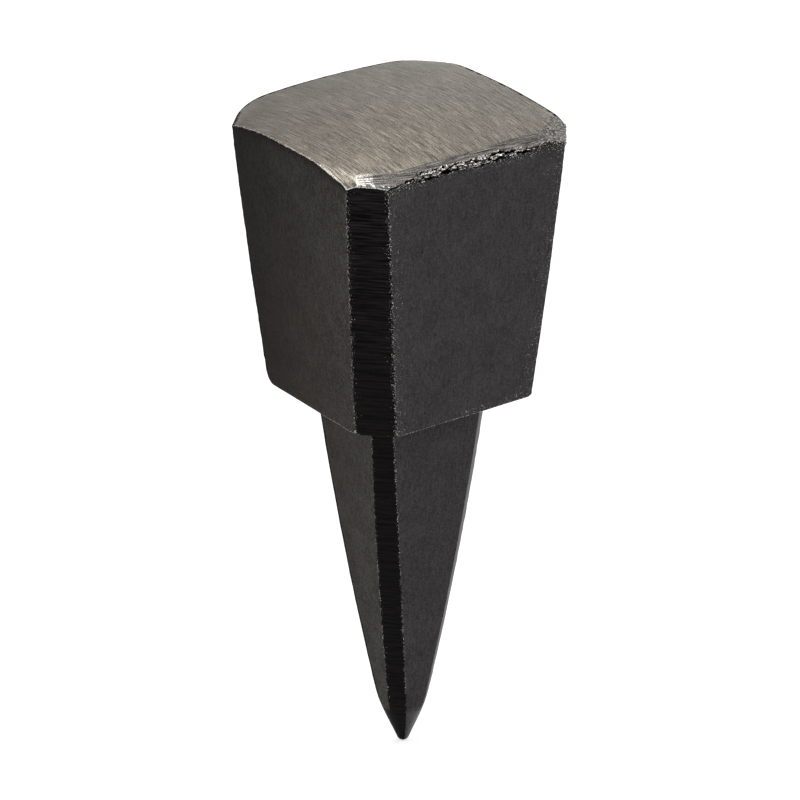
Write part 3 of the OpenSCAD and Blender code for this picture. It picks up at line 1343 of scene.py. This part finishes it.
@dataclass(frozen=True)
class AnvilFinish:
    """The whole surface: which finish lies where on the one forging.

    Attributes:
        name: Its name.
        face: Finish of the face.
        bevel: Finish of the bevel and of the steeper corners: the face's ground steel, smoother, with darker
            colours that are painted shade.
        skin: Finish of the broad sides.
        flat: Finish of the corner flats, whose near black is partly painted shade.
        torn: Colours of the dull and the bright torn metal.
        gap: Colour of the gaps in it, of the burr's crack and of the slot under the lap: near black, as
            painted shade in these recesses.
        rubbed_and_highlight: Colour of the bare metal where the black is scuffed off, also used for the
            painted highlights along edges, rims and the lower edges.
        shine: How much the lacquer shines.
        swing: Where the lines on the bevel start to swing back, and how fast.
        fan: How the belt's lines lean at the middle, and how much more per millimetre towards the back.
        ragged_mm: Size of the raggedness of the borders between the finishes.
        rim_ragged_mm: The same along the rim.
        speck_mm: Size of the specks where the black is rubbed off.
        flake_mm: Size of the flakes on the torn metal.
    """

    name: str = "blacked_forged_steel_ground_face"
    face: GroundSteel = GroundSteel()
    # Painted shade: the bevel's colours are darker than the face's.
    bevel: GroundSteel = GroundSteel(
        pale="#b3aea7", mid="#64605e", dull="#403d3a", dark="#312e2d", roughness=0.14, relief_mm=0.007
    )
    skin: ForgedSkin = ForgedSkin()
    flat: TrimmedFlat = TrimmedFlat()
    torn: tuple[str, str] = ("#595653", "#f0ede6")
    gap: str = "#080707"
    rubbed_and_highlight: str = "#d8d5cf"
    shine: float = 0.02
    swing: Pair = (-6.0, 0.0248)
    fan: Pair = (0.05, 0.003)
    ragged_mm: float = 0.6
    rim_ragged_mm: float = 0.5
    speck_mm: float = 0.16
    flake_mm: float = 0.35

    def blend(self, tree: Tree, share: Socket, under: Layer, over: Layer) -> Layer:
        """Lays a share of one layer over another."""
        numbers = [
            remap(tree, share, (0.0, 1.0), (getattr(under, part), getattr(over, part)))
            for part in ("metal", "roughness", "height")
        ]
        return Layer(mix(tree, share, under.colour, over.colour), *numbers)

    def share_of(
        self, tree: Tree, mark: Mark, low: float, high: float, ragged: Socket, rag: float
    ) -> Socket:
        """Turns a measure kept on the mesh into a share whose border strays with a noise."""
        strayed = calculate(tree, "MULTIPLY_ADD", ragged, rag, measure(tree, mark))
        return remap(tree, strayed, (low + rag / 2, high + rag / 2))

    def belt_lines(self, tree: Tree, place: Socket) -> Socket:
        """Adds coordinates that follow the belt over the face: along Y, fanning out a little."""
        x, y, _ = split(tree, place)
        fanned = calculate(tree, "MULTIPLY_ADD", y, self.fan[1] / MM, self.fan[0])
        return join(tree, calculate(tree, "MULTIPLY_ADD", y, fanned, x), y)

    def rim_lines(self, tree: Tree, place: Socket) -> Socket:
        """Adds coordinates that follow the front bevel and swing back with it at the near corner."""
        x, y, _ = split(tree, place)
        start, swing = self.swing
        past = calculate(tree, "MINIMUM", calculate(tree, "SUBTRACT", x, start * MM), 0.0)
        back = calculate(tree, "MULTIPLY", calculate(tree, "MULTIPLY", past, past), swing / MM)
        return join(tree, calculate(tree, "SUBTRACT", y, back), x)

    def material(self) -> bpy.types.Material:
        """Builds the material."""
        made = bpy.data.materials.new(self.name)
        tree = empty_tree(made)
        place = add_node(tree, "ShaderNodeTexCoord").outputs["Object"]
        ragged = grain(tree, place, self.ragged_mm, 4.0, 0.6)
        rim_ragged = grain(tree, place, self.rim_ragged_mm, 4.0, 0.65)
        speck = grain(tree, place, self.speck_mm, 1.0)
        # The corner flats, and the painted shade that the left side carries on the same mark.
        in_flat_or_painted_shade = self.share_of(tree, Mark.FLAT, -0.06, 0.06, ragged, 1.3)
        cut = self.share_of(tree, Mark.CUT, -0.02, 0.03, ragged, 0.06)
        off_face = self.share_of(tree, Mark.RIM, 0.0, 0.1, rim_ragged, 1.5)
        torn = self.share_of(tree, Mark.TORN, 0.2, 0.5, speck, 0.5)
        # Near black in the torn band's gaps, the burr's crack and the slot under the lap: painted shade.
        gap = self.share_of(tree, Mark.TORN, -0.2, -0.5, speck, -0.3)
        # Bare metal where the black is scuffed off, and painted highlights along edges, rims and the lower
        # edges.
        rubbed_and_highlight = self.share_of(tree, Mark.WEAR_AND_HIGHLIGHT, 0.62, 0.78, speck, 1.9)
        belt, rim = self.belt_lines(tree, place), self.rim_lines(tree, place)
        ground = self.blend(tree, cut, self.face.layer(tree, place, belt), self.bevel.layer(tree, place, rim))
        blacked = self.blend(tree, in_flat_or_painted_shade, self.skin.layer(tree, place), self.flat.layer(tree, place))
        layer = self.blend(tree, off_face, ground, blacked)
        layer = self.blend(tree, rubbed_and_highlight, layer, Layer(srgb(self.rubbed_and_highlight), 0.8, 0.4, layer.height))
        layer = self.blend(tree, gap, layer, Layer(srgb(self.gap), 0.0, 0.7, 0.0))
        flake = remap(tree, grain(tree, place, self.flake_mm, 2.0), (0.42, 0.58))
        lit = remap(tree, measure(tree, Mark.RIM), (0.1, 0.7), (1.0, 0.35))
        flake = calculate(tree, "MULTIPLY", flake, lit)
        crumbs = mix(tree, flake, srgb(self.torn[0]), srgb(self.torn[1]))
        layer = self.blend(tree, torn, layer, Layer(crumbs, 1.0, 0.3, 0.0))
        bump = add_node(tree, "ShaderNodeBump", {"Height": layer.height, "Distance": 1.0})
        inputs = {
            "Base Color": layer.colour,
            "Metallic": layer.metal,
            "Roughness": layer.roughness,
            "Normal": bump.outputs[0],
            "Specular IOR Level": self.shine,
            "Coat Weight": measure(tree, Mark.GLOSS),
            "Coat Roughness": 0.3,
        }
        close_tree(tree, "ShaderNodeBsdfPrincipled", inputs, "ShaderNodeOutputMaterial")
        return made


@dataclass
class Anvil:
    """The finished anvil: one forging, dressed and set on its body."""

    forging: Forging = field(default_factory=Forging)
    finish: AnvilFinish = AnvilFinish()

    def build(self) -> bpy.types.Object:
        """Builds, dresses and places the piece."""
        piece = self.forging.build()
        piece.data.materials.append(self.finish.material())
        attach(piece, "root")
        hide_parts("anvil")
        return piece


@dataclass(frozen=True)
class View:
    """The camera, which looks at the anvil as the photograph does.

    Attributes:
        azimuth: Angle round the anvil, 0 looking along +Y.
        elevation: Angle above the horizon.
        roll: Turn of the camera about its own axis.
        distance: Distance from the point that it looks at, in metres.
        aim_x: How far that point lies to the camera's right of the origin, in millimetres.
        aim_up: How far it lies above the origin as the camera sees it, in millimetres.
        focal_px: Focal length in pixels of the 800-pixel picture.
        picture_px: Width of that picture.
    """

    azimuth: float = math.radians(-35.045)
    elevation: float = math.radians(24.992)
    roll: float = math.radians(-0.362)
    distance: float = 1.0
    aim_x: float = -0.123
    aim_up: float = -3.100
    focal_px: float = 6047.4
    picture_px: float = 800.0

    def build(self) -> bpy.types.Object:
        """Makes the camera and gives it to the scene."""
        back = direction(self.azimuth, self.elevation)
        right = Vector((math.cos(self.azimuth), math.sin(self.azimuth), 0))
        up = back.cross(right)
        rolled_right = right * math.cos(self.roll) + up * math.sin(self.roll)
        rolled_up = up * math.cos(self.roll) - right * math.sin(self.roll)
        target = (rolled_right * self.aim_x + rolled_up * self.aim_up) * MM
        data = bpy.data.cameras.new("camera")
        data.sensor_width = 36.0
        data.lens = self.focal_px / self.picture_px * data.sensor_width
        data.clip_start = 0.05
        data.clip_end = 60.0
        camera = add_object("camera", data)
        turn = Matrix((rolled_right, rolled_up, back)).transposed().to_4x4()
        camera.matrix_world = Matrix.Translation(target + back * self.distance) @ turn
        bpy.context.scene.camera = camera
        return camera


@dataclass(frozen=True)
class Softbox:
    """A soft lamp that looks at the anvil.

    Attributes:
        name: Its name.
        azimuth: Angle round the anvil, as for the camera.
        elevation: Angle above the horizon.
        distance: Distance from the anvil in metres.
        width: Its width and height in metres.
        radiance: How bright its surface is, where 1 is white.
    """

    name: str
    azimuth: float
    elevation: float
    distance: float
    width: float
    radiance: float

    def build(self) -> None:
        """Makes the lamp."""
        back = direction(math.radians(self.azimuth), math.radians(self.elevation))
        data = bpy.data.lights.new(self.name, "AREA")
        data.shape = "SQUARE"
        data.size = self.width
        data.energy = self.radiance * math.pi * self.width**2
        lamp = add_object(self.name, data)
        lamp.location = back * self.distance
        lamp.rotation_euler = back.to_track_quat("Z", "Y").to_euler()


@dataclass(frozen=True)
class Studio:
    """Plain pale floor, white surroundings and soft lamps.

    Attributes:
        floor_colour: Colour of the floor.
        floor_width: Width of the floor in metres.
        floor_lift: What the floor shows on top of the light that falls on it, for a white picture.
        ambient: Brightness of the surroundings as far as they light the anvil.
        lamps: The lamps.
    """

    floor_colour: str = "#f2f2f2"
    floor_width: float = 24.0
    floor_lift: float = 0.6
    ambient: float = 0.45
    lamps: tuple[Softbox, ...] = (
        Softbox("back_softbox", 167.6, 62.5, 1.1, 0.25, 9.6),
        Softbox("left_softbox", -125, 30, 1.3, 0.9, 0.4),
        Softbox("right_softbox", 55, 30, 1.3, 0.9, 1.5),
    )

    def seen(self, tree: Tree) -> Socket:
        """Adds a socket that is 1 where a picture or a reflection looks at the surroundings."""
        path = add_node(tree, "ShaderNodeLightPath")
        rays = [path.outputs[n] for n in ("Is Camera Ray", "Is Glossy Ray", "Is Transmission Ray")]
        return calculate(tree, "MAXIMUM", calculate(tree, "MAXIMUM", rays[0], rays[1]), rays[2])

    def build_world(self) -> None:
        """Makes the surroundings: white to look at, dimmer as light."""
        world = bpy.data.worlds.new("studio")
        tree = empty_tree(world)
        strength = remap(tree, self.seen(tree), (0.0, 1.0), (self.ambient, 1.0))
        inputs = {"Color": srgb("#ffffff"), "Strength": strength}
        close_tree(tree, "ShaderNodeBackground", inputs, "ShaderNodeOutputWorld")
        bpy.context.scene.world = world

    def build_floor(self) -> bpy.types.Object:
        """Makes the floor under the tip, with the anvil's shadow on it."""
        floor_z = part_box("anvil")[0].z
        bm = bmesh.new()
        bmesh.ops.create_grid(bm, x_segments=1, y_segments=1, size=self.floor_width / 2)
        bmesh.ops.translate(bm, vec=(0, 0, floor_z), verts=bm.verts)
        floor = add_mesh("floor", bm)
        made = bpy.data.materials.new("painted_board_floor")
        tree = empty_tree(made)
        lift = calculate(tree, "MULTIPLY", self.seen(tree), self.floor_lift)
        inputs = {
            "Base Color": srgb(self.floor_colour),
            "Roughness": 1.0,
            "Specular IOR Level": 0.0,
            "Emission Color": srgb("#ffffff"),
            "Emission Strength": lift,
        }
        close_tree(tree, "ShaderNodeBsdfPrincipled", inputs, "ShaderNodeOutputMaterial")
        floor.data.materials.append(made)
        return floor

    def build(self) -> None:
        """Makes the whole studio."""
        self.build_world()
        self.build_floor()
        for lamp in self.lamps:
            lamp.build()
        bpy.context.scene.view_settings.view_transform = "Standard"


def write_sizes() -> None:
    """Updates the view layer."""
    bpy.context.view_layer.update()


def main() -> None:
    """Builds the anvil, the studio and the camera, and reports each piece."""
    logging.basicConfig(level=logging.INFO, format="%(message)s")
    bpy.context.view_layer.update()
    piece = Anvil().build()
    triangles = sum(len(p.vertices) - 2 for p in piece.data.polygons)
    LOG.info("%s: %d triangles", piece.name, triangles)
    Studio().build()
    View().build()
    write_sizes()


if __name__ == "__main__":
    main()
